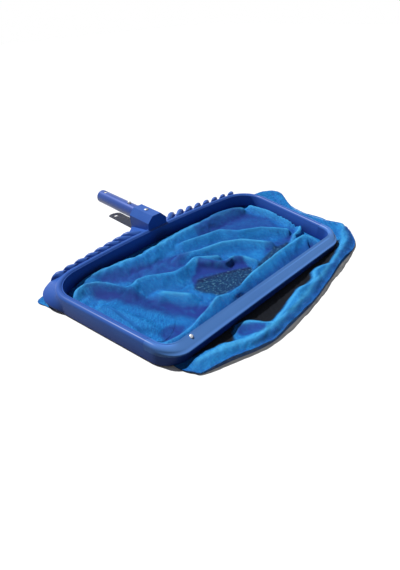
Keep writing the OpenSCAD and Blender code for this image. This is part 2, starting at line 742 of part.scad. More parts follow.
// Handle stub: a tube with a lock hole at its end and holes for the clip's buttons.
tube_in_y = socket_mouth_y - socket_depth + 1;
tube_end_y = socket_mouth_y + tube_out;
button_y = socket_mouth_y + button_out;
lock_y = tube_end_y - lock_hole_in;
module upright(y, r, h) {
  translate([0, y, tube_z - h / 2])
    cylinder(r = r, h = h, $fn = 48);
}
module handle_tube() {
  color(frame_blue)
    difference() {
      along_y(tube_in_y, tube_z, tube_d / 2, tube_end_y - tube_in_y);
      along_y(tube_in_y - 1, tube_z, tube_d / 2 - tube_wall, tube_end_y - tube_in_y + 2);
      upright(lock_y, lock_hole_d / 2, tube_d + 2);
      upright(button_y, button_d / 2 + button_gap, tube_d + 2);
      upright(bolt_y, bolt_d / 2 + fit_gap, tube_d + 2);
    }
}
bolt_head_h = 2.6;
module socket_screw() {
  head_r = bolt_d * 0.95;
  low_z = nut_z - 1;
  color(steel)
    translate([0, bolt_y, 0]) {
      translate([0, 0, low_z]) cylinder(r = bolt_d / 2, h = socket_h - low_z + eps, $fn = 48);
      intersection() {
        translate([0, 0, socket_h + bolt_head_h - head_r * 1.6]) sphere(r = head_r * 1.6, $fn = 64);
        translate([0, 0, socket_h]) cylinder(r = head_r, h = bolt_head_h, $fn = 48);
      }
    }
}
module socket_nut() {
  color(steel)
    translate([0, bolt_y, nut_z])
      difference() {
        cylinder(r = nut_w / sqrt(3), h = nut_h, $fn = 6);
        translate([0, 0, -1]) cylinder(r = bolt_d / 2 + fit_gap / 2, h = nut_h + 2, $fn = 48);
      }
}

// Sprung clip: a round bend and two arms, each with a button through the tube.
hinge_y = button_y - clip_arm;
tube_in_r = tube_d / 2 - tube_wall;
arm_out_z = sqrt(pow(tube_in_r, 2) - pow(clip_w / 2, 2)) - 0.3;
arm_rise = asin((arm_out_z - clip_t / 2 - clip_bend_r) / clip_arm);
arm_tail = 9;
module clip_bend() {
  color(clip_white)
    translate([-clip_w / 2, hinge_y - clip_t / 2 - 2 * fit_gap, tube_z])
      rotate([0, 90, 0])
        rotate([0, 0, 180])
          rotate_extrude(angle = 180, $fn = 64)
            translate([clip_bend_r - clip_t / 2, 0])
              square([clip_t, clip_w]);
}
module arm() {
  top_z = tube_d / 2 + button_travel;
  root_z = arm_out_z - clip_t / 2;
  color(clip_white) {
    difference() {
      translate([-clip_w / 2, hinge_y, tube_z + clip_bend_r])
        rotate([arm_rise, 0, 0])
          translate([0, 0, -clip_t / 2])
            cube([clip_w, clip_arm + arm_tail, clip_t]);
      along_y_outside();
    }
    translate([-clip_w / 2, hinge_y, tube_z + clip_bend_r])
      rotate([0, 90, 0])
        cylinder(r = clip_t / 2, h = clip_w, $fn = 48);
    translate([0, button_y, tube_z + root_z]) {
      cylinder(r = button_d / 2, h = top_z - root_z - button_d / 4, $fn = 48);
      translate([0, 0, top_z - root_z - button_d / 4])
        intersection() {
          translate([0, 0, button_d / 4 - button_d * 0.7]) sphere(r = button_d * 0.7, $fn = 48);
          cylinder(r = button_d / 2, h = button_d, $fn = 48);
        }
    }
  }
}
// What lies outside the tube's bore, less a running gap.
module along_y_outside() {
  difference() {
    translate([-tube_d, hinge_y - 1, tube_z - tube_d]) cube([2 * tube_d, 2 * clip_arm, 2 * tube_d]);
    along_y(hinge_y - 2, tube_z, tube_in_r - 0.2, 2 * clip_arm + 4);
  }
}
module clip_arm_upper() arm();
module clip_arm_lower() {
  translate([0, 0, 2 * tube_z]) mirror([0, 0, 1]) arm();
}

frame();
front_edge();
scoop_lip();
lip_rivet();
retainer_back();
retainer_left();
retainer_right();
retainer_front();
retainer_screws();
splice_left();
splice_right();
splice_screws();
net_hem();
hem_cord();
net_panel();
gusset_left();
gusset_right();
seam_left();
seam_right();
handle_tube();
socket_screw();
socket_nut();
clip_bend();
clip_arm_upper();
clip_arm_lower();
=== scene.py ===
import math

import bmesh
import bpy
import numpy as np
from mathutils import Matrix, Vector, geometry, noise
from mathutils.bvhtree import BVHTree


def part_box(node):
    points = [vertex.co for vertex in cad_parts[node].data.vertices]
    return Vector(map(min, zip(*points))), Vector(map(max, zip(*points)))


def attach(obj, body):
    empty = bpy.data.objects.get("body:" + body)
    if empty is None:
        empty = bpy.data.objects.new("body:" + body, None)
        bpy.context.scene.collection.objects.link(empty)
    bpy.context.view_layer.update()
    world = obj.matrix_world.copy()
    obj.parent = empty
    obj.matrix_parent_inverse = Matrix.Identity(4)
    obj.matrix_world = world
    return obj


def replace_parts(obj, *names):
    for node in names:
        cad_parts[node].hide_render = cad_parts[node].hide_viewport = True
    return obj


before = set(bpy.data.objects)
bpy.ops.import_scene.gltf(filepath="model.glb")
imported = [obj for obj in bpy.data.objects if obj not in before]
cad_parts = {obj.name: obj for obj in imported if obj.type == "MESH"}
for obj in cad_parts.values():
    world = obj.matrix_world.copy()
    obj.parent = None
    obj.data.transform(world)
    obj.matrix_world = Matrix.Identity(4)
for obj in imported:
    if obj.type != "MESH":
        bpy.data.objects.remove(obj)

MM = 0.001
UP = Vector((0, 0, 1))
DOWN = Vector((0, 0, -1))
WELD_DISTANCE = 0.01 * MM
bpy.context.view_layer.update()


# ---------------------------------------------------------------- objects
def add_object(name, data):
    """Links new data to the scene as an object at the origin."""
    ob = bpy.data.objects.new(name, data)
    bpy.context.scene.collection.objects.link(ob)
    return ob


def add_mesh(name, verts, faces):
    me = bpy.data.meshes.new(name)
    me.from_pydata(verts, [], faces)
    me.update()
    return add_object(name, me)


def add_square(name, half):
    """A flat square at floor height."""
    corners = [(-half, -half, 0), (half, -half, 0), (half, half, 0), (-half, half, 0)]
    return add_mesh(name, corners, [(0, 1, 2, 3)])


def smooth_faces(mesh):
    mesh.polygons.foreach_set("use_smooth", [True] * len(mesh.polygons))


# ---------------------------------------------------------------- camera
CAMERA_TARGET = (-0.05488, -0.02776, 0.0)
CAMERA_AZIMUTH = -42.95
CAMERA_ELEVATION = 36.5
CAMERA_ROLL = -2.92
CAMERA_DISTANCE = 0.68183
FOCAL_PIXELS = 385.95
IMAGE_LONG_SIDE = 570
SENSOR = 36.0
CLIP_NEAR = 0.01
CLIP_FAR = 20.0


def make_camera():
    """A camera that looks at its target, rolled about its own line of sight."""
    a, e, r = (math.radians(v) for v in (CAMERA_AZIMUTH, CAMERA_ELEVATION, CAMERA_ROLL))
    back = Vector((math.sin(a) * math.cos(e), -math.cos(a) * math.cos(e), math.sin(e)))
    right = UP.cross(back).normalized()
    up = back.cross(right)
    right_rolled = math.cos(r) * right + math.sin(r) * up
    up_rolled = -math.sin(r) * right + math.cos(r) * up
    data = bpy.data.cameras.new("camera")
    data.sensor_width = SENSOR
    data.lens = FOCAL_PIXELS * SENSOR / IMAGE_LONG_SIDE
    data.clip_start = CLIP_NEAR
    data.clip_end = CLIP_FAR
    cam = add_object("camera", data)
    turn = Matrix((right_rolled, up_rolled, back)).transposed().to_4x4()
    cam.matrix_world = Matrix.Translation(Vector(CAMERA_TARGET) + back * CAMERA_DISTANCE) @ turn
    bpy.context.scene.camera = cam


# ---------------------------------------------------------------- node trees
BLACK = (0, 0, 0)
WHITE = (1, 1, 1)
UNSCALED = (1, 1, 1)


class Nodes:
    """Short helper for building a node tree. Object coordinates are in metres."""

    def __init__(self, tree, output):
        self.tree = tree
        tree.nodes.clear()
        self.out = self.add(output)

    def add(self, kind, **settings):
        n = self.tree.nodes.new(kind)
        for key, value in settings.items():
            setattr(n, key, value)
        return n

    def link(self, a, b):
        self.tree.links.new(a, b)

    def feed(self, socket, value):
        """Sets a socket to a colour or a number, or links it to another socket."""
        if isinstance(value, tuple):
            socket.default_value = (*value, 1)
        elif isinstance(value, (int, float)):
            socket.default_value = value
        else:
            self.link(value, socket)

    def coords(self, scale=UNSCALED, kind="Object"):
        tc = self.add("ShaderNodeTexCoord")
        m = self.add("ShaderNodeMapping")
        m.inputs["Scale"].default_value = scale
        self.link(tc.outputs[kind], m.inputs["Vector"])
        return m.outputs["Vector"]

    def split(self, vector):
        sep = self.add("ShaderNodeSeparateXYZ")
        self.link(vector, sep.inputs[0])
        return sep.outputs

    def attribute(self, name):
        return self.add("ShaderNodeAttribute", attribute_name=name).outputs["Fac"]

    def noise(self, vector, scale=1.0, detail=3.0, rough=0.5):
        n = self.add("ShaderNodeTexNoise")
        n.inputs["Scale"].default_value = scale
        n.inputs["Detail"].default_value = detail
        n.inputs["Roughness"].default_value = rough
        self.link(vector, n.inputs["Vector"])
        return n.outputs["Fac"]

    def ramp(self, fac, stops):
        r = self.add("ShaderNodeValToRGB")
        el = r.color_ramp.elements
        while len(el) < len(stops):
            el.new(0.5)
        for e, (pos, col) in zip(el, stops):
            e.position = pos
            e.color = (*col, 1)
        self.link(fac, r.inputs["Fac"])
        return r.outputs["Color"]

    def rise(self, value, start, end):
        """0 below the start, 1 above the end."""
        return self.ramp(value, [(start, BLACK), (end, WHITE)])

    def math(self, op, a, b=None, clamp=False):
        m = self.add("ShaderNodeMath", operation=op, use_clamp=clamp)
        self.feed(m.inputs[0], a)
        if b is not None:
            self.feed(m.inputs[1], b)
        return m.outputs[0]

    def times(self, a, b):
        return self.math("MULTIPLY", a, b)

    def scaled(self, value, by, plus):
        return self.math("ADD", self.times(value, by), plus)

    def blend(self, first, *others):
        """The sum of (value, share) pairs."""
        total = self.times(*first)
        for pair in others:
            total = self.math("ADD", total, self.times(*pair))
        return total

    def mix(self, fac, a, b):
        m = self.add("ShaderNodeMix", data_type="RGBA")
        for socket, v in ((0, fac), (6, a), (7, b)):
            self.feed(m.inputs[socket], v)
        return m.outputs[2]

    def bump(self, height, strength, distance, normal=None):
        b = self.add("ShaderNodeBump")
        if normal is not None:
            self.link(normal, b.inputs["Normal"])
        b.inputs["Strength"].default_value = strength
        b.inputs["Distance"].default_value = distance
        self.link(height, b.inputs["Height"])
        return b.outputs["Normal"]

    def principled(self, base, rough, normal=None, **values):
        p = self.add("ShaderNodeBsdfPrincipled")
        self.feed(p.inputs["Base Color"], base)
        self.feed(p.inputs["Roughness"], rough)
        if normal is not None:
            self.link(normal, p.inputs["Normal"])
        for key, v in values.items():
            p.inputs[key.replace("_", " ")].default_value = v
        self.link(p.outputs[0], self.out.inputs["Surface"])
        return p

    def seen_plainly(self):
        """1 for rays from the camera, from gloss and through glass."""
        rays = self.add("ShaderNodeLightPath").outputs
        seen = self.math("MAXIMUM", rays["Is Camera Ray"], rays["Is Glossy Ray"])
        return self.math("MAXIMUM", seen, rays["Is Transmission Ray"])


class Finish(Nodes):
    """The node tree of one material."""

    def __init__(self, name):
        self.mat = bpy.data.materials.new(name)
        self.mat.use_nodes = True
        super().__init__(self.mat.node_tree, "ShaderNodeOutputMaterial")


# ---------------------------------------------------------------- materials
MOULDED_GRAIN = 0.06
EDGE_RUB = 0.25
SCUFF = 0.07
SCUFF_BLUE = (0.30, 0.42, 0.70)
# Painted shade that darkens the plastic next to the ground.
LOW_SHADE_TOP = 24 * MM
LOW_SHADE = 0.85
LOW_SHADE_BLUE = (0.010, 0.030, 0.20)


def moulded(name, deep, mid, pale, rough, fade=None):
    """Moulded plastic: slow colour drift, rubbed edges, a few scuffs, painted shade near the ground and fine
    grain.
    fade is (colour, y where it is full, y where it is gone)."""
    n = Finish(name)
    v = n.coords()
    _, y, z = n.split(v)
    colour = n.ramp(n.noise(v, 9.0, 4.0, 0.55), [(0.3, deep), (0.52, mid), (0.75, pale)])
    if fade is not None:
        other, full, gone = fade
        part = n.math("DIVIDE", n.math("SUBTRACT", full, y), full - gone, clamp=True)
        colour = n.mix(part, other, colour)
    rubbed = n.rise(n.add("ShaderNodeNewGeometry").outputs["Pointiness"], 0.5, 0.58)
    colour = n.mix(n.times(rubbed, EDGE_RUB), colour, pale)
    scuffed = n.rise(n.noise(n.coords((40, 900, 900)), 1.0, 2.0, 0.6), 0.62, 0.72)
    colour = n.mix(n.times(scuffed, SCUFF), colour, SCUFF_BLUE)
    # Painted shade: the plastic gets darker toward the ground.
    low = n.math("SUBTRACT", 1.0, n.math("DIVIDE", z, LOW_SHADE_TOP), clamp=True)
    colour = n.mix(n.times(low, LOW_SHADE), colour, LOW_SHADE_BLUE)
    rough_map = n.scaled(n.noise(v, 55.0, 4.0), 0.16, rough - 0.08)
    grain = n.bump(n.noise(v, 2200.0, 2.0, 0.6), MOULDED_GRAIN, 0.2 * MM)
    n.principled(colour, rough_map, grain, Specular_IOR_Level=0.02, Coat_Weight=0.20, Coat_Roughness=0.31)
    return n.mat


def coated_tube(name, deep, pale):
    """Glossy coat on a metal tube, with fine scratches along it."""
    n = Finish(name)
    colour = n.ramp(n.noise(n.coords(), 14.0), [(0.3, deep), (0.7, pale)])
    scratch = n.noise(n.coords((900, 25, 900)), 1.0, 2.0, 0.6)
    n.principled(colour, n.scaled(scratch, 0.06, 0.32), n.bump(scratch, 0.03, 0.1 * MM), Metallic=0.1,
                 Specular_IOR_Level=0.04, Coat_Weight=0.65, Coat_Roughness=0.27)
    return n.mat


def brushed(name, base, rough):
    """Bare metal with brush lines and duller patches."""
    n = Finish(name)
    lines = n.noise(n.coords((3000, 120, 3000)), 1.0, 2.0)
    dulled = tuple(c * 0.7 for c in base)
    colour = n.ramp(n.noise(n.coords(), 160.0), [(0.3, dulled), (0.7, base)])
    n.principled(colour, n.scaled(lines, 0.2, rough - 0.1), n.bump(lines, 0.15, 0.1 * MM), Metallic=1.0)
    return n.mat


def translucent(name, deep, pale):
    """White plastic that lets light through."""
    n = Finish(name)
    v = n.coords()
    colour = n.ramp(n.noise(v, 90.0), [(0.3, deep), (0.7, pale)])
    n.principled(colour, 0.42, n.bump(n.noise(v, 1500.0), 0.08, 0.2 * MM),
                 Subsurface_Weight=1.0, Subsurface_Scale=5 * MM, Subsurface_Radius=(1, 1, 1))
    return n.mat


MESH_PITCH = 1.5 * MM
# Round threads catch light from above whatever way the netting slopes.
THREAD_ROUND = 0.5
# Strength of the painted highlights along fold lines, in the edge colour.
FOLD_HIGHLIGHT = 0.7
# Colours of the painted ground in shadow seen through the netting, and of the painted black shadow.
SHADED_GRAVEL = [(0.47, (0.002, 0.007, 0.026)), (0.55, (0.004, 0.018, 0.07)), (0.60, (0.04, 0.13, 0.18)),
          (0.66, (0.15, 0.30, 0.34))]
SHADOW_BLACK = (0.002, 0.003, 0.006)


def open_mesh(name, deep, mid, lit, edge, shaded):
    """Knitted netting: crossed threads with holes, coloured by the sheet's own attributes, which carry
    painted shade, painted highlights on folds and painted ground in shadow.
    """
    n = Finish(name)
    u, v, _ = n.split(n.coords((1 / MESH_PITCH, 1 / MESH_PITCH, 1), "UV"))

    def thread(across):
        wave = n.math("SINE", n.times(across, 2 * math.pi))
        return n.rise(n.scaled(wave, 0.5, 0.5), 0.34, 0.55)

    knit = n.math("MAXIMUM", thread(n.math("ADD", u, v)), thread(n.math("SUBTRACT", u, v)))
    flat = n.coords(UNSCALED, "UV")
    drift = n.noise(flat, 30.0, 5.0, 0.6)
    ribs = n.noise(n.coords((800, 90, 1), "UV"), 1.0, 2.0, 0.6)
    grain = n.noise(flat, 520.0, 2.0, 0.7)
    tone = n.blend((drift, 0.24), (ribs, 0.42), (grain, 0.34))
    colour = n.ramp(tone, [(0.40, deep), (0.5, mid), (0.60, lit)])
    # Painted highlights along the fold lines, from the pale attribute.
    colour = n.mix(n.times(n.attribute("pale"), FOLD_HIGHLIGHT), colour, edge)
    # Painted shade, from the shade attribute.
    colour = n.mix(n.attribute("shade"), colour, shaded)
    # Painted ground in shadow, black where the painted shadow of the lip falls.
    gravel = n.ramp(n.noise(n.coords((1, 1.5, 1), "UV"), 190.0, 4.0, 0.75), SHADED_GRAVEL)
    ground = n.mix(n.attribute("black"), gravel, SHADOW_BLACK)
    colour = n.mix(n.attribute("ground"), colour, ground)

    single = n.math("SUBTRACT", 1.0, n.attribute("layers"))
    holes = n.times(n.math("SUBTRACT", 1.0, knit), single)
    raised = n.add("ShaderNodeVectorMath", operation="ADD")
    n.link(n.add("ShaderNodeNewGeometry").outputs["Normal"], raised.inputs[0])
    raised.inputs[1].default_value = (0, 0, THREAD_ROUND)
    even = n.add("ShaderNodeVectorMath", operation="NORMALIZE")
    n.link(raised.outputs[0], even.inputs[0])
    threads = n.bump(knit, 0.3, 0.3 * MM, even.outputs[0])
    p = n.principled(colour, 0.75, threads, Specular_IOR_Level=0.12)
    n.link(n.math("SUBTRACT", 1.0, holes, clamp=True), p.inputs["Alpha"])
    return n.mat


def woven(name, deep, mid, pitch, kind="Object"):
    """Close cloth with a crossed weave."""
    n = Finish(name)
    turn = 2 * math.pi / pitch
    x, y, _ = n.split(n.coords((turn, turn, turn), kind))
    cross = n.scaled(n.times(n.math("SINE", x), n.math("SINE", y)), 0.5, 0.5)
    drift = n.noise(n.coords(UNSCALED, kind), 40.0, 4.0)
    colour = n.ramp(n.blend((cross, 0.35), (drift, 0.65)), [(0.3, deep), (0.7, mid)])
    n.principled(colour, 0.8, n.bump(cross, 0.5, 0.3 * MM), Specular_IOR_Level=0.15)
    return n.mat


FRAME_BLUE = (0.031, 0.100, 0.39)
LIP_FADE = 40 * MM
lip_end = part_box("scoop_lip")[1][1]
FRAME_MAT = moulded("frame_blue_plastic", (0.026, 0.088, 0.36), FRAME_BLUE, (0.042, 0.125, 0.44), 0.38)
# The lip is the frame's plastic painted lighter, as painted light on its sunlit top; it fades to the frame
# blue toward its back ends.
LIP_PAINTED_LIGHT_MAT = moulded("lip_blue_plastic_painted_light", (0.092, 0.240, 0.62), (0.100, 0.258, 0.65), (0.108, 0.272, 0.68), 0.42,
                  fade=(FRAME_BLUE, lip_end, lip_end - LIP_FADE))
STRIP_MAT = moulded("strip_navy_plastic", (0.010, 0.030, 0.14), (0.014, 0.040, 0.17), (0.02, 0.05, 0.2), 0.5)
TUBE_MAT = coated_tube("tube_blue_gloss", (0.008, 0.052, 0.29), (0.012, 0.068, 0.35))
# The last two colours are the painted fold highlight and the painted shade.
NET_MAT = open_mesh("net_mesh_blue", (0.005, 0.084, 0.33), (0.008, 0.155, 0.48), (0.024, 0.280, 0.66),
                    (0.08, 0.46, 0.82), (0.011, 0.036, 0.22))
HEM_MAT = woven("hem_navy_cloth", (0.008, 0.035, 0.16), (0.02, 0.08, 0.30), 0.8 * MM)
BIND_MAT = woven("binding_blue_cloth", (0.008, 0.10, 0.36), (0.010, 0.15, 0.46), 1.0 * MM, "UV")
CORD_MAT = woven("cord_white_braid", (0.55, 0.55, 0.5), (0.8, 0.8, 0.76), 1.2 * MM)
CLIP_MAT = translucent("clip_white", (0.84, 0.84, 0.81), (0.92, 0.92, 0.90))
STEEL_MAT = brushed("steel_fixings", (0.26, 0.29, 0.36), 0.50)
RIVET_MAT = brushed("rivet_pale", (0.60, 0.62, 0.66), 0.5)

NODE_MATERIALS = {
    "frame": FRAME_MAT, "front_edge": FRAME_MAT, "scoop_lip": LIP_PAINTED_LIGHT_MAT, "lip_rivet": RIVET_MAT,
    "retainer_back": STRIP_MAT, "retainer_left": STRIP_MAT, "retainer_right": STRIP_MAT,
    "retainer_front": STRIP_MAT, "splice_left": STRIP_MAT, "splice_right": STRIP_MAT,
    "retainer_screws": STEEL_MAT, "splice_screws": STEEL_MAT, "socket_screw": STEEL_MAT,
    "socket_nut": STEEL_MAT, "net_hem": HEM_MAT, "hem_cord": CORD_MAT, "net_panel": NET_MAT,
    "gusset_left": NET_MAT, "gusset_right": NET_MAT, "seam_left": BIND_MAT, "seam_right": BIND_MAT,
    "handle_tube": TUBE_MAT, "clip_bend": CLIP_MAT, "clip_arm_upper": CLIP_MAT,
    "clip_arm_lower": CLIP_MAT,
}
SMOOTH_ANGLE = math.radians(38)


def dress(node, mat):
    """Gives a CAD node its material, and smooth shading up to the smooth angle."""
    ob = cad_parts[node]
    ob.data.materials.clear()
    ob.data.materials.append(mat)
    smooth_faces(ob.data)
    ob.modifiers.new("weld", "WELD").merge_threshold = WELD_DISTANCE
    ob.modifiers.new("split", "EDGE_SPLIT").split_angle = SMOOTH_ANGLE


for node_name, node_mat in NODE_MATERIALS.items():
    dress(node_name, node_mat)


# ---------------------------------------------------------------- the net bag
# Places are in millimetres on the floor.
OUTLINE = [
    (-266, 150), (-272, 120), (-262, 92), (-246, 50), (-236, 0), (-226, -60), (-214, -112),
    (-210, -148), (-202, -164), (-194, -174), (-150, -187), (-112, -200), (-79, -207), (-49, -206),
    (0, -203), (45, -199), (106, -188), (168, -176), (241, -164), (285, -130), (303, -106),
    (299, -60), (298, -11), (309, 34), (359, 102), (336, 138), (262, 146), (140, 158),
    (0, 162), (-140, 156),
]
# Crest lines: (x, y, reach on the left of the line, reach on its right, height).
CRESTS = [
    # netting that stands against the back rail
    [(-205, 124, 14, 16, 6), (-191, 127, 16, 24, 10), (-167, 126, 18, 28, 12), (-125, 119, 20, 32, 13),
     (-76, 113, 22, 34, 14), (-28, 113, 24, 34, 15), (16, 116, 26, 34, 16), (56, 115, 26, 32, 17),
     (100, 113, 26, 30, 18), (141, 111, 24, 26, 18), (181, 104, 18, 22, 18), (203, 93, 8, 12, 17)],
    # lobe at the back left, running on as the long ridge across the middle
    [(-229, 98, 8, 10, 8), (-219, 106, 8, 16, 14), (-204, 104, 9, 20, 17), (-185, 91, 9, 24, 18),
     (-171, 72, 9, 26, 18), (-160, 55, 9, 28, 16), (-148, 44, 9, 28, 15)],
    [(-148, 44, 8, 30, 15), (-132, 50, 7, 34, 16), (-115, 45, 7, 36, 17), (-96, 32, 7, 36, 17),
     (-73, 19, 8, 34, 16), (-47, 20, 8, 30, 16), (-17, 26, 8, 22, 16), (2, 14, 10, 10, 16),
     (22, 0, 10, 8, 15)],
    # edge above the hollow
    [(-19, 16, 20, 6, 17), (-3, -10, 20, 6, 17), (14, -28, 18, 6, 16), (36, -25, 16, 6, 15),
     (51, -39, 16, 7, 14), (60, -60, 12, 8, 10)],
    # two crests at the right of the middle
    [(12, 89, 6, 24, 14), (55, 73, 6, 26, 17), (91, 63, 6, 28, 18), (115, 31, 6, 28, 19),
     (157, 4, 6, 24, 19), (189, -40, 6, 12, 19)],
    [(-27, 58, 10, 22, 13), (15, 38, 12, 24, 15), (61, 25, 12, 26, 16), (95, 4, 12, 24, 16),
     (128, -43, 10, 10, 14)],
    # band along the right rail
    [(232, 96, 8, 9, 14), (230, 78, 9, 11, 16), (232, 46, 9, 11, 17), (231, 12, 9, 10, 17),
     (226, -18, 9, 10, 17), (226, -46, 8, 9, 17), (210, -55, 7, 7, 16), (184, -60, 7, 7, 14),
     (172, -65, 6, 6, 12)],
    # long roll behind the lip
    [(-196, -98, 6, 10, 5), (-173, -103, 7, 16, 10), (-140, -102, 8, 22, 14), (-101, -96, 8, 26, 17),
     (-76, -89, 8, 28, 18), (-59, -95, 8, 26, 19), (-26, -95, 8, 26, 20), (15, -90, 8, 30, 20),
     (60, -86, 7, 34, 20), (108, -82, 7, 36, 20), (154, -81, 7, 36, 20), (184, -83, 9, 30, 19),
     (192, -98, 8, 18, 17), (190, -114, 6, 10, 13)],
    # smooth panel at the left
    [(-214, 40, 14, 20, 8), (-200, 0, 14, 24, 10), (-190, -40, 14, 24, 10), (-186, -66, 10, 12, 8)],
    [(-124, -10, 24, 26, 13), (-100, -46, 22, 20, 13)],
    # rolls in front of the lip
    [(-195, -160, 6, 10, 5), (-187, -157, 7, 16, 10), (-172, -161, 7, 24, 13), (-144, -168, 7, 28, 15),
     (-110, -180, 7, 24, 15), (-88, -187, 7, 20, 15), (-66, -192, 7, 16, 14)],
    [(-104, -153, 6, 7, 8), (-94, -149, 6, 8, 13), (-78, -157, 6, 8, 16), (-66, -174, 6, 10, 16),
     (-62, -190, 8, 10, 14)],
    [(-66, -192, 7, 16, 14), (-38, -186, 6, 24, 16), (2, -177, 6, 32, 17), (38, -171, 6, 34, 17),
     (66, -174, 6, 28, 17), (80, -172, 6, 28, 16), (96, -161, 6, 32, 14), (118, -160, 6, 30, 14),
     (139, -170, 6, 24, 15), (174, -163, 6, 22, 15), (204, -151, 6, 24, 13), (240, -138, 6, 22, 11),
     (268, -120, 8, 20, 9)],
    [(-188, -159, 22, 12, 9), (-147, -172, 24, 12, 13), (-102, -189, 24, 13, 14), (-62, -194, 24, 13, 15),
     (-5, -192, 30, 13, 14), (80, -178, 28, 12, 13), (141, -169, 24, 12, 13), (210, -154, 22, 12, 12),
     (256, -138, 20, 12, 10), (288, -108, 16, 12, 9)],
    # soft rise outside the right rail
    [(288, -106, 14, 12, 9), (287, -60, 12, 11, 9), (286, -10, 10, 11, 9), (295, 26, 12, 12, 8),
     (318, 62, 14, 13, 6), (342, 98, 16, 13, 5), (326, 127, 14, 10, 5)],
]
# Painted shade on the netting, where it lies doubled or turns down from the light: (amount, soft edge,
# outline).
PAINTED_SHADE = [
    (0.72, 16, [(-186, 124), (-133, 111), (-69, 88), (-22, 76), (8, 52), (-37, 37), (-66, 31),
                (-105, 61), (-130, 62), (-154, 80), (-174, 111)]),
    (0.70, 14, [(65, 111), (109, 118), (185, 112), (212, 77), (222, 35), (205, -11), (136, 49),
                (109, 80), (59, 93)]),
    (0.88, 16, [(-202, 100), (-187, 84), (-172, 60), (-150, 26), (-135, -14), (-114, -52), (-91, -77),
                (-86, -90), (-116, -98), (-144, -61), (-167, -8), (-183, 39), (-202, 68)]),
    (0.85, 6, [(-12, 18), (18, -22), (40, -24), (52, -36), (41, -65), (-5, -41), (-39, -26),
               (-71, -29), (-57, -10)]),
    (0.80, 8, [(-179, -70), (-155, -74), (-146, -86), (-163, -100), (-181, -103), (-196, -91)]),
    (0.80, 6, [(-94, -150), (-76, -164), (-66, -182), (-76, -190), (-97, -178), (-108, -160)]),
    (0.60, 12, [(120, -36), (189, -46), (182, -64), (96, -52)]),
    (0.45, 10, [(200, 90), (216, 50), (212, 0), (214, -40), (204, -46), (196, 10), (186, 80)]),
    # the roll behind the lip, toward the lip
    (0.55, 14, [(-140, -114), (-100, -110), (-59, -109), (-26, -108), (15, -105), (60, -101), (108, -98),
                (154, -97), (186, -100), (190, -126), (-140, -128)]),
    # the outer flank of the rolls in front
    (0.55, 12, [(-112, -191), (-79, -198), (-49, -197), (0, -192), (45, -187), (106, -176), (168, -164),
                (238, -148), (280, -118), (305, -104), (290, -134), (241, -168), (168, -180),
                (106, -192), (45, -203), (0, -207), (-79, -211), (-112, -204)]),
]
# Painted dark ground in shadow, seen through the netting, and the painted black shadow under the lip:
# (amount, soft edge, outline, blackness).
SHADED_GROUND = [
    (0.85, 7, [(-49, -16), (-33, -20), (1, -35), (48, -60), (31, -80), (-14, -84), (-41, -80),
               (-58, -78), (-72, -49), (-73, -31)], 0.0),
    (0.8, 6, [(41, -72), (84, -58), (128, -51), (166, -58), (156, -72), (118, -76), (80, -79),
              (49, -78)], 0.2),
    (1.0, 4, [(-200, -128), (-180, -146), (-150, -158), (-122, -168), (-108, -152), (-94, -144),
              (-78, -152), (-66, -168), (-58, -184), (-38, -181), (2, -172), (38, -166), (66, -169),
              (80, -167), (94, -156), (118, -155), (139, -165), (174, -158), (204, -146), (236, -134),
              (215, -112), (200, -128)], 1.0),
]
GUSSET_RIGHT = [(306, 40), (352, 110), (330, 132), (278, 138), (276, 96), (268, 50)]
GUSSET_LEFT = [(-216, 40), (-150, 30), (-140, -40), (-160, -78), (-200, -82)]
SEAM_LEFT = [(-202, -70), (-206, 32)]
SEAM_RIGHT = [(300, 56), (338, 112)]
MOUTH_FRONT = -125

# The mesh step of the sheets, the height of their rows and the room along their edge as shares of it.
SHEET_STEP = 3.6
ROW_SHARE = 0.866
EDGE_ROOM = 0.55
SAME_POINT = 1e-6
OUTLINE_CURVE = 6
PATCH_CURVE = 4
# Turn of the knit on each sheet, in radians.
UPPER_TURN = 0.2
UNDER_TURN = -0.35
LEFT_TURN = 0.9
RIGHT_TURN = -0.5
# Heights above the floor.
FLOOR_LAYER = 0.7
TOP_LAYER = 1.9
EDGE_HEIGHT = 2.2
LAYER_GAP = 0.7
HIGHEST = 26
CREST_POWER = 4.0
CREST_ROUND = 1.5
# Low waves of the netting between the crests: (height, size, seed).
WAVES = [(1.0, 34.0, 1.0), (0.5, 13.0, 2.0)]
DEEPEST_WAVE = -1.0
HEIGHT_ROUNDS = 1
ROLL_ROUNDS = 7

# Room kept under the frame.
OPEN_SKY = 60.0
DROP_FROM = 50 * MM
COVERED = 50.0
NET_CLEARANCE = 0.6
PATCH_CLEARANCE = 0.35
CLEAR_RADIUS = 3
CLEAR_STEPS = 8

# How the netting settles as cloth.
CLOTH = {
    "quality": 6, "mass": 0.05, "tension_stiffness": 12, "compression_stiffness": 12,
    "shear_stiffness": 6, "bending_stiffness": 0.3, "pin_stiffness": 1.0,
}
CLOTH_GRAVITY = 0.25
CLOTH_THICKNESS = 0.6 * MM
CLOTH_FRAMES = 14
CLOTH_GROWTH = 0.02
CLOTH_REACH = 6 * MM
PIN_COVERED = 1.0
PIN_EDGE = 0.9
PIN_OPEN = 0.10

# Colour of the netting: painted shade at its edges, in valleys and on the lower layer, wandering outlines
# and painted highlights along fold lines.
EDGE_WIDTH = 4.0
EDGE_SHADE = 0.45
VALLEY_SHADE = 0.5
RELIEF_ROUNDS = 16
RELIEF_FULL = 6.0
UNDER_SHADE = 0.35
WANDER = 4.0
WANDER_SIZE = 16.0
WANDER_SEEDS = (4.0, 5.0)
MOTTLE = 0.25
MOTTLE_SIZE = 7.0
MOTTLE_SEED = 6.0
# Two painted highlights beside a fold line: (share, width).
FOLD_GLOWS = [(0.65, 3.4), (0.35, 11)]
FOLD_FULL = 14
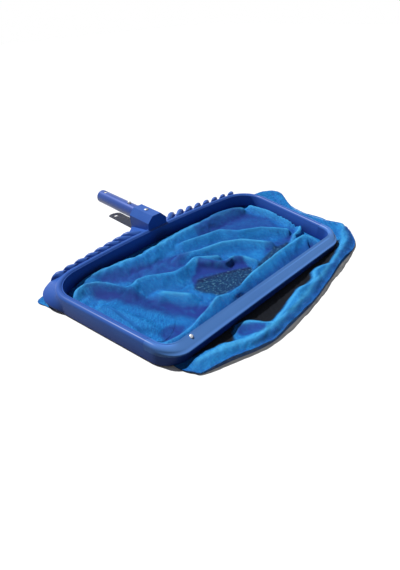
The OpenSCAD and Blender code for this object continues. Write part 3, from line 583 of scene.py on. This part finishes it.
# How far the holes are closed by a second layer, and how much that varies.
DOUBLED = 0.45
DOUBLED_DRIFT = 0.25
DOUBLED_SIZE = 40.0
DOUBLED_SEED = 7.0

# Binding of a seam, and its section as (share of the half width, height above the netting).
TAPE_HALF = 2.2
TAPE_STEPS = 24
TAPE_SECTION = [(-1.0, 0.35), (-0.5, 0.75), (0.0, 0.9), (0.5, 0.75), (1.0, 0.35)]


def smooth_loop(points, per):
    """A closed Catmull-Rom curve through the points, with so many steps for each."""
    p = np.array(points, float)
    n = len(p)
    made = []
    for i in range(n):
        a, b, c, d = p[i - 1], p[i], p[(i + 1) % n], p[(i + 2) % n]
        for k in range(per):
            t = k / per
            made.append(0.5 * (2 * b + (c - a) * t + (2 * a - 5 * b + 4 * c - d) * t * t
                               + (3 * b - a - 3 * c + d) * t ** 3))
    return np.array(made)


def evenly(loop, step):
    """Points at equal steps round a closed loop."""
    closed = np.vstack([loop, loop[:1]])
    run = np.concatenate([[0], np.cumsum(np.hypot(*np.diff(closed, axis=0).T))])
    count = int(run[-1] / step)
    at = np.arange(count) * run[-1] / count
    return np.stack([np.interp(at, run, closed[:, k]) for k in (0, 1)], 1)


def inside(points, loop):
    """Which points lie inside a closed loop."""
    x, y = points[:, 0:1], points[:, 1:2]
    a, b = loop, np.roll(loop, -1, axis=0)
    crosses = (a[:, 1] > y) != (b[:, 1] > y)
    with np.errstate(divide="ignore", invalid="ignore"):
        at = a[:, 0] + (y - a[:, 1]) * (b[:, 0] - a[:, 0]) / (b[:, 1] - a[:, 1])
    return (np.sum(crosses & (x < at), axis=1) % 2) == 1


def line_distance(points, line):
    """Distance to a polyline, the side, and the values blended along it."""
    best = np.full(len(points), np.inf)
    side = np.zeros(len(points))
    values = np.zeros((len(points), line.shape[1] - 2))
    for a, b in zip(line[:-1], line[1:]):
        d = b[:2] - a[:2]
        t = np.clip(((points - a[:2]) @ d) / (d @ d), 0, 1)
        off = points - (a[:2] + t[:, None] * d)
        dist = np.hypot(off[:, 0], off[:, 1])
        closer = dist < best
        best = np.where(closer, dist, best)
        side = np.where(closer, np.sign(d[0] * off[:, 1] - d[1] * off[:, 0]), side)
        values = np.where(closer[:, None], a[2:] + t[:, None] * (b[2:] - a[2:]), values)
    return best, side, values


def edge_distance(points, loop):
    """Distance to a closed loop."""
    return line_distance(points, np.vstack([loop, loop[:1]]))[0]


def field_of(points, outline, soft):
    """1 inside an outline, 0 outside, with a soft edge."""
    loop = np.array(outline, float)
    dist = edge_distance(points, loop)
    t = np.clip(np.where(inside(points, loop), dist, -dist) / soft + 0.5, 0, 1)
    return t * t * (3 - 2 * t)


def field_noise(points, size, seed):
    return np.array([noise.noise(Vector((p[0] / size, p[1] / size, seed))) for p in points])


def crest_heights(points):
    """Height of the netting over its crest lines, where the highest crest leads."""
    total = np.zeros(len(points))
    for crest in CRESTS:
        dist, side, val = line_distance(points, np.array(crest, float))
        reach = np.where(side > 0, val[:, 0], val[:, 1])
        t = np.clip(dist / reach, 0, 1)
        total += (val[:, 2] * np.cos(t * math.pi / 2) ** CREST_ROUND) ** CREST_POWER
    return total ** (1 / CREST_POWER)


def averaged(values, faces, rounds, own=1.0):
    """Values averaged with their neighbours' in some rounds, their own with the given weight."""
    edges = np.array(sorted({tuple(sorted(e)) for f in faces for e in zip(f, f[1:] + f[:1])}))
    for _ in range(rounds):
        total = own * values
        number = np.full(len(values), own)
        for a, b in ((0, 1), (1, 0)):
            np.add.at(total, edges[:, a], values[edges[:, b]])
            np.add.at(number, edges[:, a], 1)
        values = total / number
    return values


def frame_tree():
    """A search tree of every rigid node that the net must stay under."""
    verts, faces = [], []
    for name in ("frame", "front_edge", "scoop_lip", "retainer_back", "retainer_left",
                 "retainer_right", "retainer_front"):
        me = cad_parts[name].data
        base = len(verts)
        verts += [v.co.copy() for v in me.vertices]
        faces += [[base + i for i in p.vertices] for p in me.polygons]
    return BVHTree.FromPolygons(verts, faces)


FRAME_TREE = frame_tree()
CLEAR_TURNS = np.arange(CLEAR_STEPS) * 2 * math.pi / CLEAR_STEPS
CLEAR_RING = [(0, 0)] + [(CLEAR_RADIUS * math.cos(a), CLEAR_RADIUS * math.sin(a)) for a in CLEAR_TURNS]


def ceiling(points, margin):
    """Greatest height in mm that keeps clear of the frame above each point."""
    caps = []
    for x, y in points:
        low = OPEN_SKY
        for dx, dy in CLEAR_RING:
            start = Vector(((x + dx) * MM, (y + dy) * MM, -MM))
            hit = FRAME_TREE.ray_cast(start, UP, OPEN_SKY * MM)[0]
            if hit is not None:
                low = min(low, hit.z / MM - margin)
        caps.append(low)
    return np.array(caps)


def tree_of(sheet):
    return BVHTree.FromObject(sheet, bpy.context.evaluated_depsgraph_get())


def height_on(tree, x, y, otherwise):
    """Height in metres of a sheet at a place in mm, or the other one where it has none."""
    hit = tree.ray_cast(Vector((x * MM, y * MM, DROP_FROM)), DOWN, OPEN_SKY * MM)[0]
    return otherwise if hit is None else hit.z


def flat_sheet(loop, step):
    """Triangulated sheet inside a loop, with even edge points and a staggered grid inside."""
    edge = evenly(loop, step)
    lo, hi = edge.min(0), edge.max(0)
    xs = np.arange(lo[0], hi[0], step)
    ys = np.arange(lo[1], hi[1], step * ROW_SHARE)
    grid = np.array([(x + (step / 2 if j % 2 else 0), y) for j, y in enumerate(ys) for x in xs])
    grid = grid[inside(grid, edge)]
    grid = grid[edge_distance(grid, edge) > step * EDGE_ROOM]
    points = [Vector(p) for p in np.vstack([edge, grid])]
    n = len(edge)
    ring = [(i, (i + 1) % n) for i in range(n)]
    made = geometry.delaunay_2d_cdt(points, ring, [], 1, SAME_POINT)
    plan = np.array([(v[0], v[1]) for v in made[0]])
    on_edge = np.arange(len(plan)) < n
    return plan, [list(f) for f in made[2]], on_edge


def build_sheet(name, plan, heights, faces, uv_turn):
    """A smooth netting mesh whose UV map is its plan in metres, turned by an angle."""
    verts = [(x * MM, y * MM, h * MM) for (x, y), h in zip(plan, heights)]
    ob = add_mesh(name, verts, faces)
    me = ob.data
    c, s = math.cos(uv_turn), math.sin(uv_turn)
    flat = np.stack([c * plan[:, 0] - s * plan[:, 1], s * plan[:, 0] + c * plan[:, 1]], 1) * MM
    index = np.zeros(len(me.loops), int)
    me.loops.foreach_get("vertex_index", index)
    me.uv_layers.new(name="UVMap").data.foreach_set("uv", flat[index].ravel())
    smooth_faces(me)
    me.materials.append(NET_MAT)
    return ob


def set_value(ob, name, values):
    attr = ob.data.attributes.new(name, "FLOAT", "POINT")
    attr.data.foreach_set("value", np.asarray(values, np.float32))


def places_of(ob):
    co = np.zeros(len(ob.data.vertices) * 3)
    ob.data.vertices.foreach_get("co", co)
    return co.reshape(-1, 3)


def settle(ob, pins):
    """Where the sheet's points end after it has buckled and settled as cloth."""
    group = ob.vertex_groups.new(name="pins")
    for i, w in enumerate(pins):
        group.add([i], float(w), "REPLACE")
    plate = add_square("settle_floor", 1.0)
    plate.modifiers.new("hit", "COLLISION")
    plate.collision.thickness_outer = CLOTH_THICKNESS
    cloth = ob.modifiers.new("cloth", "CLOTH")
    for key, value in CLOTH.items():
        setattr(cloth.settings, key, value)
    cloth.settings.shrink_min = -CLOTH_GROWTH
    cloth.settings.vertex_group_mass = "pins"
    cloth.settings.effector_weights.gravity = CLOTH_GRAVITY
    cloth.collision_settings.distance_min = CLOTH_THICKNESS
    cloth.point_cache.frame_start, cloth.point_cache.frame_end = 1, CLOTH_FRAMES
    scene = bpy.context.scene
    for f in range(1, CLOTH_FRAMES + 1):
        scene.frame_set(f)
    dg = bpy.context.evaluated_depsgraph_get()
    ends = np.array([v.co[:] for v in ob.evaluated_get(dg).data.vertices])
    ob.modifiers.remove(cloth)
    scene.frame_set(1)
    bpy.data.objects.remove(plate)
    return ends


def shade_of(points):
    """How much painted shade the netting gets, with outlines that wander and a mottled surface."""
    wander = np.stack([field_noise(points, WANDER_SIZE, seed) for seed in WANDER_SEEDS], 1) * WANDER
    dark = np.zeros(len(points))
    for amount, soft, outline in PAINTED_SHADE:
        dark = np.maximum(dark, amount * field_of(points + wander, outline, soft))
    return np.clip(dark * (1 + MOTTLE * field_noise(points, MOTTLE_SIZE, MOTTLE_SEED)), 0, 1)


def shaded_ground_of(points):
    """How far painted ground in shadow shows through, and how black the painted shadow is there."""
    shown = np.zeros(len(points))
    black = np.zeros(len(points))
    for amount, soft, outline, blackness in SHADED_GROUND:
        f = amount * field_of(points, outline, soft)
        black = np.where(f > shown, blackness, black)
        shown = np.maximum(shown, f)
    return shown, black


def fold_highlight_of(points):
    """Painted highlights along the fold lines, where the netting lies doubled."""
    pale = np.zeros(len(points))
    for crest in CRESTS[:-1]:
        dist, _, val = line_distance(points, np.array(crest, float))
        near = sum(share * np.clip(1 - dist / width, 0, 1) for share, width in FOLD_GLOWS)
        pale = np.maximum(pale, near * np.clip(val[:, 2] / FOLD_FULL, 0, 1))
    return pale


def bag_heights(plan, faces, on_edge, cap):
    """Heights of the upper layer: crests and low waves, flat at the edge and under the frame."""
    wave = sum(height * field_noise(plan, size, seed) for height, size, seed in WAVES)
    z = TOP_LAYER + crest_heights(plan) + np.maximum(wave, DEEPEST_WAVE) * (cap > COVERED)
    z[on_edge] = np.minimum(z[on_edge], EDGE_HEIGHT)
    soft, softer = (averaged(z, faces, rounds) for rounds in (HEIGHT_ROUNDS, ROLL_ROUNDS))
    return np.minimum(np.where(plan[:, 1] < MOUTH_FRONT, softer, soft), cap)


def buckle(top, on_edge, cap):
    """Moves the upper layer as cloth moves, no further than its reach, and under the frame."""
    places = places_of(top)
    pins = np.where(cap < COVERED, PIN_COVERED, 0.0)
    pins[on_edge] = PIN_EDGE
    step = settle(top, np.maximum(pins, PIN_OPEN)) - places
    length = np.linalg.norm(step, axis=1, keepdims=True)
    places += step * np.minimum(1, CLOTH_REACH / np.maximum(length, 1e-9))
    cap = ceiling(places[:, :2] / MM, NET_CLEARANCE)
    lowest = (FLOOR_LAYER + LAYER_GAP) * MM
    places[:, 2] = np.clip(places[:, 2], lowest, np.minimum(cap, HIGHEST) * MM)
    top.data.vertices.foreach_set("co", places.ravel())
    return places, cap


def paint_bag(top, loop, faces, on_edge, places, cap):
    """The attributes that paint shade, fold highlights and ground in shadow on the upper layer, and close
    its holes.
    """
    plan = places[:, :2] / MM
    shown, black = shaded_ground_of(plan)
    dark = shade_of(plan)
    rim = np.clip(1 - edge_distance(plan, loop) / EDGE_WIDTH, 0, 1) * (cap > COVERED)
    z = places_of(top)[:, 2] / MM
    relief = z - averaged(z, faces, RELIEF_ROUNDS, own=0.0)
    valley = np.clip(-relief / RELIEF_FULL, 0, 1) * (plan[:, 1] > MOUTH_FRONT)
    # Painted shade: the dark patches, the netting's outer edge and its valleys.
    set_value(top, "shade", np.clip(np.maximum(dark, EDGE_SHADE * rim) + VALLEY_SHADE * valley, 0, 1))
    set_value(top, "ground", shown)
    set_value(top, "black", black)
    set_value(top, "pale", fold_highlight_of(plan) * (1 - shown))
    doubled = np.clip(DOUBLED + DOUBLED_DRIFT * field_noise(plan, DOUBLED_SIZE, DOUBLED_SEED), 0, 1)
    set_value(top, "layers", np.maximum.reduce([1.0 * on_edge, doubled, shown, dark]))


def make_bag():
    """The two layers of the bag as it lies: the folded upper one, and the flat one below."""
    loop = smooth_loop(OUTLINE, OUTLINE_CURVE)
    plan, faces, on_edge = flat_sheet(loop, SHEET_STEP)
    cap = ceiling(plan, NET_CLEARANCE)
    heights = bag_heights(plan, faces, on_edge, cap)
    top = build_sheet("net_bag_upper", plan, heights, faces, UPPER_TURN)
    places, cap = buckle(top, on_edge, cap)
    paint_bag(top, loop, faces, on_edge, places, cap)
    sub = top.modifiers.new("smooth", "SUBSURF")
    sub.levels = sub.render_levels = 1
    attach(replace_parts(top, "net_panel"), "net")

    under = build_sheet("net_bag_under", plan, np.full(len(plan), FLOOR_LAYER), faces, UNDER_TURN)
    # Painted shade over the whole lower layer.
    set_value(under, "shade", np.full(len(plan), UNDER_SHADE))
    set_value(under, "layers", np.zeros(len(plan)))
    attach(under, "net")
    return top, under


def drape_patch(name, outline, over, node, turn):
    """A second layer of netting that follows the sheet below it."""
    plan, faces, on_edge = flat_sheet(smooth_loop(outline, PATCH_CURVE), SHEET_STEP)
    tree = tree_of(over)
    z = np.array([height_on(tree, x, y, FLOOR_LAYER * MM) / MM + LAYER_GAP for x, y in plan])
    z = np.minimum(z, ceiling(plan, PATCH_CLEARANCE))
    ob = build_sheet(name, plan, z, faces, turn)
    # Painted shade on the patch, from the same outlines as the sheet below.
    set_value(ob, "shade", shade_of(plan))
    set_value(ob, "layers", 1.0 * on_edge)
    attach(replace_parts(ob, node), "net")
    return ob


def seam_tape(name, seam, over, node):
    """A narrow binding that follows the netting along a seam."""
    a, b = np.array(seam, float)
    length = np.linalg.norm(b - a)
    along = (b - a) / length
    across = np.array([-along[1], along[0]])
    tree = tree_of(over)
    verts, uvs = [], []
    for i in range(TAPE_STEPS + 1):
        middle = a + (b - a) * i / TAPE_STEPS
        for s, h in TAPE_SECTION:
            x, y = middle + across * TAPE_HALF * s
            verts.append((x * MM, y * MM, height_on(tree, x, y, 2 * MM) + h * MM))
            uvs.append((i / TAPE_STEPS * length * MM, s * TAPE_HALF * MM))
    m = len(TAPE_SECTION)
    faces = [(i * m + k, (i + 1) * m + k, (i + 1) * m + k + 1, i * m + k + 1)
             for i in range(TAPE_STEPS) for k in range(m - 1)]
    ob = add_mesh(name, verts, faces)
    layer = ob.data.uv_layers.new(name="UVMap")
    for lp in ob.data.loops:
        layer.data[lp.index].uv = uvs[lp.vertex_index]
    smooth_faces(ob.data)
    ob.data.materials.append(BIND_MAT)
    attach(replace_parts(ob, node), "net")
    return ob


top_sheet, under_sheet = make_bag()
patch_left = drape_patch("net_gusset_left", GUSSET_LEFT, top_sheet, "gusset_left", LEFT_TURN)
patch_right = drape_patch("net_gusset_right", GUSSET_RIGHT, top_sheet, "gusset_right", RIGHT_TURN)
tape_left = seam_tape("net_seam_left", SEAM_LEFT, patch_left, "seam_left")
tape_right = seam_tape("net_seam_right", SEAM_RIGHT, patch_right, "seam_right")

# ---------------------------------------------------------------- the hem
HEM_STEP = 3 * MM
HEM_GATHER = 7 * MM
HEM_DRAW = 0.25 * MM


def gathered_hem():
    """The sewn sleeve in the rim's channel: the node's form with finer faces and drawn-in gathers."""
    bm = bmesh.new()
    bm.from_mesh(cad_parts["net_hem"].data)
    bmesh.ops.remove_doubles(bm, verts=bm.verts, dist=WELD_DISTANCE)
    long_edges = [e for e in bm.edges if e.calc_length() > HEM_STEP]
    bmesh.ops.subdivide_edges(bm, edges=long_edges, cuts=1, use_grid_fill=True)
    bmesh.ops.triangulate(bm, faces=[f for f in bm.faces if len(f.verts) > 4])
    bm.normal_update()
    for v in bm.verts:
        depth = 0.5 + 0.5 * noise.noise(Vector(v.co) / HEM_GATHER)
        v.co -= v.normal * HEM_DRAW * max(depth, 0)
    me = bpy.data.meshes.new("net_hem_sleeve")
    bm.to_mesh(me)
    bm.free()
    ob = add_object("net_hem_sleeve", me)
    smooth_faces(me)
    me.materials.append(HEM_MAT)
    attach(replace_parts(ob, "net_hem"), "net")
    return ob


hem_sleeve = gathered_hem()


# ---------------------------------------------------------------- floor and light
FLOOR_HALF = 6.0
FLOOR_SEEN = (0.88, 0.88, 0.88)
FLOOR_BOUNCE = (0.09, 0.088, 0.085)
WORLD_SEEN = 1.0
WORLD_LIGHT = 0.10
SUN_FROM = (-0.13, 0.56, 0.82)
SUN_STRENGTH = 4.6
SUN_SPREAD = 1.0


def make_floor():
    """A pale floor that throws little light back on the object."""
    ob = add_square("floor", FLOOR_HALF)
    n = Finish("floor_pale")
    n.principled(n.mix(n.seen_plainly(), FLOOR_BOUNCE, FLOOR_SEEN), 0.9)
    ob.data.materials.append(n.mat)


def make_world():
    """A world that looks white and gives a weak, even light."""
    world = bpy.data.worlds.new("world")
    bpy.context.scene.world = world
    world.use_nodes = True
    n = Nodes(world.node_tree, "ShaderNodeOutputWorld")
    mix = n.add("ShaderNodeMixShader")
    n.link(n.seen_plainly(), mix.inputs[0])
    for socket, strength in ((1, WORLD_LIGHT), (2, WORLD_SEEN)):
        glow = n.add("ShaderNodeBackground")
        n.feed(glow.inputs["Color"], WHITE)
        n.feed(glow.inputs["Strength"], strength)
        n.link(glow.outputs[0], mix.inputs[socket])
    n.link(mix.outputs[0], n.out.inputs[0])


def make_sun():
    data = bpy.data.lights.new("sun", "SUN")
    data.energy = SUN_STRENGTH
    data.angle = math.radians(SUN_SPREAD)
    ob = add_object("sun", data)
    ob.rotation_mode = "QUATERNION"
    ob.rotation_quaternion = Vector(SUN_FROM).to_track_quat("Z", "Y")


make_floor()
make_world()
make_sun()
make_camera()
bpy.context.scene.view_settings.view_transform = "Standard"
